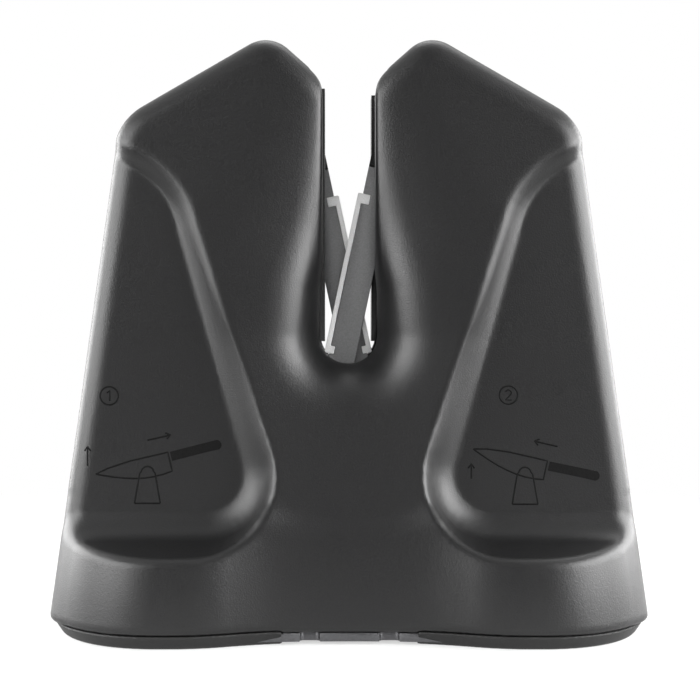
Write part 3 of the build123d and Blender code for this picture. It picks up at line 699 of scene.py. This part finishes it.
def make_shells():
    """Both halves of the casing."""
    finish = shell_plastic()
    reach_x, reach_y, reach_z = shell_reach
    for name, node, side in (("front_casing", "front_shell", -1), ("rear_casing", "rear_shell", 1)):
        low = (-reach_x, -reach_y if side < 0 else -grid_margin, grid_margin)
        high = (reach_x, grid_margin if side < 0 else reach_y, reach_z)
        mesh = mesh_of(name, shell(side), low, high, shell_voxel)
        piece = in_scene(name, mesh, finish)
        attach(piece, "casing")
        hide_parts(node)


def make_feet():
    """The two rubber feet."""
    finish = rubber()
    reach_x, reach_y, reach_z = foot_reach
    for name, node, side in (("left_foot", "left_foot_pad", -1), ("right_foot", "right_foot_pad", 1)):
        near, far = sorted((side * (plate_half_length - grid_margin), side * reach_x))
        low, high = (near, -reach_y, -grid_margin), (far, reach_y, reach_z)
        piece = in_scene(name, mesh_of(name, foot, low, high, foot_voxel), finish)
        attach(piece, "casing")
        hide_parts(node)


def front_face(x, z):
    """How far in front of the middle the casing's surface lies at a place, found by halving."""
    outside_y, inside_y = -45.0, -12.0
    halvings = 24
    x, z = np.atleast_1d(x).astype(float), np.atleast_1d(z).astype(float)
    near = np.full(x.shape, outside_y)
    deep = np.full(x.shape, inside_y)
    for _ in range(halvings):
        middle = (near + deep) / 2
        outside = casing(x, middle, z) > 0
        near = np.where(outside, middle, near)
        deep = np.where(outside, deep, middle)
    return near


def turned(points, angle):
    """Points turned about the origin, in degrees."""
    c, s = math.cos(math.radians(angle)), math.sin(math.radians(angle))
    return [(c * u - s * v, s * u + c * v) for u, v in points]


def placed(points, centre):
    """Points moved to a centre."""
    return [(u + centre[0], v + centre[1]) for u, v in points]


def tubes_on_face(name, strokes, closed):
    """Strokes as thin tubes half sunk in the front of the casing."""
    curve = bpy.data.curves.new(name, "CURVE")
    curve.dimensions = "3D"
    curve.bevel_depth = stroke_radius * mm
    curve.bevel_resolution = 2
    curve.use_fill_caps = True
    for stroke in strokes + closed:
        spline = curve.splines.new("POLY")
        spline.points.add(len(stroke) - 1)
        xs, zs = zip(*stroke)
        depths = front_face(xs, zs) + stroke_sink
        for point, x, y, z in zip(spline.points, xs, depths, zs):
            point.co = (x * mm, y * mm, z * mm, 1.0)
        spline.use_cyclic_u = stroke in closed
    return mesh_from(curve, name)


def shapes_on_face(name, shapes):
    """Filled outlines as thin plates let into the front of the casing."""
    points, faces = [], []
    for shape in shapes:
        xs, zs = zip(*shape)
        depths = front_face(xs, zs)
        count, first = len(shape), len(points)
        points += [(x, y - shape_rise, z) for x, y, z in zip(xs, depths, zs)]
        points += [(x, y + shape_sink, z) for x, y, z in zip(xs, depths, zs)]
        faces.append(list(range(first, first + count)))
        faces.append(list(range(first + 2 * count - 1, first + count - 1, -1)))
        for i in range(count):
            after = (i + 1) % count
            faces.append([first + i, first + count + i, first + count + after, first + after])
    mesh = bpy.data.meshes.new(name)
    mesh.from_pydata([tuple(value * mm for value in point) for point in points], [], faces)
    mesh.validate()
    return mesh


def arrow(start, end):
    """A straight arrow: its shaft and the two strokes of its head."""
    back = tuple((Vector(start) - Vector(end)).normalized() * arrow_head)
    barbs = [placed(turned([back], side * arrow_barb_angle), end)[0] for side in (-1, 1)]
    return [[start, end], [barbs[0], end, barbs[1]]]


def fine(stroke, step=0.8):
    """A stroke with points close enough together to follow a curved face."""
    points = [stroke[0]]
    for start, end in zip(stroke, stroke[1:]):
        parts = max(1, math.ceil(math.dist(start, end) / step))
        points += [tuple(Vector(start).lerp(Vector(end), i / parts)) for i in range(1, parts + 1)]
    return points


def blade_outline():
    """A plain kitchen blade, point to the left, with its heel at the origin."""
    heel_angle = 2.0
    shares = np.linspace(0, 1, 9)
    edge = [(blade_length * (t - 1), -blade_belly * math.sin(t * heel_angle)) for t in shares]
    return [*edge, (0.0, blade_spine), (-9.0, blade_spine), (-14.5, 0.7), (-blade_length, 0.0)]


def handle_outline():
    """The blade's handle: straight, with a round end."""
    end = arc_points((11.4, 0.3), 1.2, -70, 70, 7)
    return [(0.5, -1.0), (9.0, -0.8), *end, (9.0, 1.4), (0.5, blade_spine)]


def block_outline():
    """The little sharpener under the knife: a block that narrows upwards."""
    top = arc_points((0.0, -0.5), 1.5, 170, 10, 7)
    return [(-3.0, -7.6), (-1.8, -0.6), *top, (1.8, -0.6), (3.0, -7.6)]


def digit_strokes(digit):
    """A plain numeral, drawn about its own middle."""
    if digit == 1:
        return [[(-0.55, 0.7), (0.15, 1.2), (0.15, -1.2)]]
    bow = arc_points((0.0, 0.5), 0.7, 160, -40, 9)
    return [[*bow, (-0.7, -1.15), (0.75, -1.15)]]


def make_engravings():
    """A circled numeral and a small plain picture of a knife on a block, in each front recess."""
    # The marks' near-black colour is painted shade, standing in for the shade in engraved grooves
    finish = engraving_painted_shade()
    # Each side's numeral and its place, the place of the blade's heel, which way the knife tilts,
    # how far the block stands under the heel, and the arrow that points up, from the heel
    sides = (
        ("left", 1, (-56.0, 55.8), (-42.0, 41.5), 1, 3.1, [(-19.0, -2.0), (-19.0, 2.5)]),
        ("right", 2, (37.2, 56.0), (46.0, 39.5), -1, 1.3, [(-17.5, -3.0), (-17.5, 0.5)]),
    )
    for name, digit, number_place, heel, turn, block_drop, upward in sides:
        ring = placed(arc_points((0, 0), numeral_ring_radius, 0, 350, 36), number_place)
        strokes = [placed(stroke, number_place) for stroke in digit_strokes(digit)]
        blade = placed(turned(fine(blade_outline()), turn * picture_tilt), heel)
        handle = placed(turned(handle_outline(), turn * picture_tilt), heel)
        block = placed(fine(block_outline()), (heel[0] - block_shift, heel[1] - block_drop))
        strokes += [blade, block, fine([block[-1], block[0]])]
        along = placed(turned(draw_stroke, turn * picture_tilt), heel)[::turn]
        for mark in (arrow(*along), arrow(*placed(upward, heel))):
            strokes += [fine(stroke) for stroke in mark]
        pieces = (
            (name + "_engraved_lines", tubes_on_face(name + "_engraved_lines", strokes, [ring])),
            (name + "_engraved_handle", shapes_on_face(name + "_engraved_handle", [handle])),
        )
        for piece_name, mesh in pieces:
            piece = in_scene(piece_name, mesh, finish)
            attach(piece, "casing")


def spring_points(along, across, up, start):
    """The middle of the wire: close end turns, and open turns between them."""
    steps = 24
    rise = spring_length - 2 * wire_radius
    end_pitch = 2 * wire_radius + spring_end_gap
    open_pitch = (rise - 2 * end_pitch) / spring_turns
    points = []
    for step in range((spring_turns + 2) * steps + 1):
        turns = step / steps
        height = end_pitch * min(turns, 1.0)
        height += open_pitch * min(max(turns - 1.0, 0.0), spring_turns)
        height += end_pitch * max(turns - 1.0 - spring_turns, 0.0)
        angle = turns * math.tau
        ring = across * math.cos(angle) + up * math.sin(angle)
        points.append(start + along * (wire_radius + height) + ring * spring_radius)
    return points


def make_springs(finish):
    """The two springs, which shorten as their arm swings out."""
    lean = math.radians(arm_lean)
    joints = {joint["name"]: joint for joint in frame["joints"]}
    for name, side in (("front", -1), ("rear", 1)):
        joint = joints[name + "_arm_hinge"]
        pivot = Vector(joint["pos_m"]) / mm
        arm_up = Vector((-side * math.sin(lean), 0, math.cos(lean)))
        along = Vector((-side * math.cos(lean), 0, -math.sin(lean)))
        start = pivot + arm_up * spring_height + along * spring_start_u
        start.y = side * spring_y
        curve = bpy.data.curves.new(name + "_coil", "CURVE")
        curve.dimensions = "3D"
        curve.bevel_depth = wire_radius * mm
        curve.bevel_resolution = 3
        curve.use_fill_caps = True
        spline = curve.splines.new("POLY")
        points = spring_points(along, Vector((0, 1, 0)), arm_up, start)
        spline.points.add(len(points) - 1)
        for place, point in zip(spline.points, points):
            place.co = (*(point * mm), 1.0)
        piece = in_scene(name + "_coil", mesh_from(curve, name + "_coil"), finish)
        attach(piece, "casing")
        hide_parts(name + "_spring")
        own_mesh(piece)


def dress_mechanism():
    """Materials of the metal and plastic pieces that the CAD model shapes."""
    arm = satin_metal("arm_steel", (0.26, 0.26, 0.263), 0.4, grain_size=0.3, metallic=0.5)
    # The carbide's near-white colour with no metal shine is lighter than carbide's own grey: partly its real light
    # grey, partly a painted reflection of the bright studio that the strips show
    carbide = satin_metal("carbide", (0.92, 0.92, 0.91), 0.4, grain_size=0.2, metallic=0.0)
    zinc = satin_metal("zinc_steel", (0.6, 0.61, 0.63), 0.35)
    pin = satin_metal("pin_steel", (0.66, 0.66, 0.67), 0.25)
    plate = satin_metal("plate_steel", (0.13, 0.13, 0.135), 0.5, grain_size=0.5)
    bronze = satin_metal("bush_bronze", (0.6, 0.4, 0.2), 0.4)
    wire = satin_metal("spring_steel", (0.52, 0.52, 0.53), 0.3)
    guide = painted("guide_paint", (0.02, 0.02, 0.02), 0.25)
    tip = painted("tip_plastic", (0.012, 0.012, 0.012), 0.45)
    by_material = (
        (tip, ("front_arm_tip", "rear_arm_tip")),
        (bronze, ("front_arm_bush", "rear_arm_bush")),
        (pin, (
            "left_pivot_pin", "right_pivot_pin", "pivot_circlips", "rest_stop_pins", "outer_stop_posts",
        )),
        (zinc, (
            "shell_screws", "base_screws", "frame_foot_screws", "front_frame_plate", "rear_frame_plate",
            "frame_spacer_bars", "frame_screws", "guide_rivets", "pivot_spacers", "left_spring_seat",
            "right_spring_seat",
        )),
    )
    for material, nodes in by_material:
        for node in nodes:
            dress(node, material)
    by_width = (
        (arm, 0.2, ("front_arm", "rear_arm")),
        (carbide, 0.15, ("front_carbide_strip", "rear_carbide_strip")),
        (guide, 0.3, ("left_blade_guide", "right_blade_guide")),
        (plate, 0.25, ("base_plate",)),
    )
    for material, width, nodes in by_width:
        for node in nodes:
            eased(node, material, width)
    make_springs(wire)


def larger(tree, first, second):
    """The larger of two values of a node tree."""
    node = tree.nodes.new("ShaderNodeMath")
    node.operation = "MAXIMUM"
    tree.links.new(first, node.inputs[0])
    tree.links.new(second, node.inputs[1])
    return node.outputs[0]


def white_to_the_eye(tree):
    """1 for rays from the camera, in gloss and through glass, and 0 for rays that light a surface."""
    ray = tree.nodes.new("ShaderNodeLightPath").outputs
    seen = larger(tree, ray["Is Camera Ray"], ray["Is Glossy Ray"])
    return larger(tree, seen, ray["Is Transmission Ray"])


def white_to_the_camera(tree, value):
    """1 for rays from the camera, and a value for the others."""
    return larger(tree, tree.nodes.new("ShaderNodeLightPath").outputs["Is Camera Ray"], value)


def make_floor():
    """A white floor that keeps the shadow near the object and is plain white further out."""
    half = floor_half_size
    mesh = bpy.data.meshes.new("floor")
    corners = [(-half, -half, 0), (half, -half, 0), (half, half, 0), (-half, half, 0)]
    mesh.from_pydata(corners, [], [(0, 1, 2, 3)])
    material, shader = new_material("floor_white", (0.92, 0.92, 0.92), 0.8)
    shader.inputs["Specular IOR Level"].default_value = 0.0
    tree = material.node_tree
    place = tree.nodes.new("ShaderNodeTexCoord")
    far = tree.nodes.new("ShaderNodeVectorMath")
    far.operation = "LENGTH"
    tree.links.new(place.outputs["Object"], far.inputs[0])
    fade = mapped(tree, far.outputs["Value"], *shadow_reach, floor_own_white, 1.0, "SMOOTHSTEP")
    split = tree.nodes.new("ShaderNodeSeparateXYZ")
    tree.links.new(place.outputs["Object"], split.inputs["Vector"])
    front = mapped(tree, split.outputs["Y"], -floor_front_reach, 0.0, studio_front, 1.0)
    strength = tree.nodes.new("ShaderNodeMath")
    strength.operation = "MULTIPLY"
    tree.links.new(white_to_the_camera(tree, front), strength.inputs[0])
    tree.links.new(white_to_the_eye(tree), strength.inputs[1])
    white = tree.nodes.new("ShaderNodeEmission")
    white.inputs["Color"].default_value = (1.0, 1.0, 1.0, 1.0)
    tree.links.new(strength.outputs[0], white.inputs["Strength"])
    mixed = tree.nodes.new("ShaderNodeMixShader")
    tree.links.new(fade, mixed.inputs["Fac"])
    tree.links.new(shader.outputs["BSDF"], mixed.inputs[1])
    tree.links.new(white.outputs["Emission"], mixed.inputs[2])
    tree.links.new(mixed.outputs["Shader"], tree.nodes["Material Output"].inputs["Surface"])
    floor = in_scene("floor", mesh, material)


def make_world():
    """A white studio that is darker in front of the object, and a dimmer light for matt surfaces."""
    world = bpy.data.worlds.new("surround")
    bpy.context.scene.world = world
    world.use_nodes = True
    tree = world.node_tree
    tree.nodes.clear()
    place = tree.nodes.new("ShaderNodeTexCoord")
    split = tree.nodes.new("ShaderNodeSeparateXYZ")
    tree.links.new(place.outputs["Generated"], split.inputs["Vector"])
    shade = mapped(tree, split.outputs["Y"], *studio_front_fade, studio_front, 1.0, "SMOOTHSTEP")
    strength = tree.nodes.new("ShaderNodeMapRange")
    strength.inputs["To Min"].default_value = studio_matt
    tree.links.new(white_to_the_camera(tree, shade), strength.inputs["To Max"])
    tree.links.new(white_to_the_eye(tree), strength.inputs["Value"])
    background = tree.nodes.new("ShaderNodeBackground")
    background.inputs["Color"].default_value = (1.0, 1.0, 1.0, 1.0)
    tree.links.new(strength.outputs["Result"], background.inputs["Strength"])
    output = tree.nodes.new("ShaderNodeOutputWorld")
    tree.links.new(background.outputs["Background"], output.inputs["Surface"])


def softbox(name, angle, height, distance, size, radiance):
    """A large area lamp at an angle from the front, which faces the middle of the object."""
    turn = math.radians(angle)
    place = Vector((distance * math.sin(turn), -distance * math.cos(turn), height))
    lamp = bpy.data.lights.new(name, "AREA")
    lamp.shape = "RECTANGLE"
    lamp.size, lamp.size_y = size
    lamp.energy = radiance * math.pi * size[0] * size[1]
    holder = bpy.data.objects.new(name, lamp)
    holder.location = place
    holder.rotation_euler = (Vector(lamps_aim) - place).to_track_quat("-Z", "Y").to_euler()
    bpy.context.collection.objects.link(holder)
    return holder


def make_lights():
    """Softboxes round the object and above it, and a weak fill that shows in no gloss."""
    boxes = (
        # name, angle, height, distance, size, radiance
        ("left_side_box", -108.0, 0.14, 0.6, (0.5, 0.6), 8.5),
        ("right_side_box", 108.0, 0.14, 0.6, (0.5, 0.6), 8.5),
        ("left_softbox", -58.0, 0.16, 0.6, (0.45, 0.6), 7.5),
        ("right_softbox", 63.0, 0.16, 0.6, (0.45, 0.6), 11.0),
        ("top_softbox", 160.0, 0.75, 0.25, (0.6, 0.35), 3.0),
    )
    for box in boxes:
        softbox(*box)
    fill = softbox("front_fill", 0.0, 0.2, 0.7, (0.3, 0.3), 6.5)
    fill.visible_glossy = False


def make_camera():
    """The photograph's view: level, straight from the front and close."""
    camera = bpy.data.cameras.new("camera")
    camera.angle = 2 * math.atan(picture_width / 2 / focal_pixels)
    camera.shift_x, camera.shift_y = (shift / picture_width for shift in shift_pixels)
    holder = bpy.data.objects.new("camera", camera)
    holder.location = camera_place
    holder.rotation_euler = (math.pi / 2, 0.0, 0.0)
    bpy.context.collection.objects.link(holder)
    bpy.context.scene.camera = holder


make_camera()
make_shells()
make_feet()
make_engravings()
dress_mechanism()
make_floor()
make_world()
make_lights()
bpy.context.scene.view_settings.view_transform = "Standard"
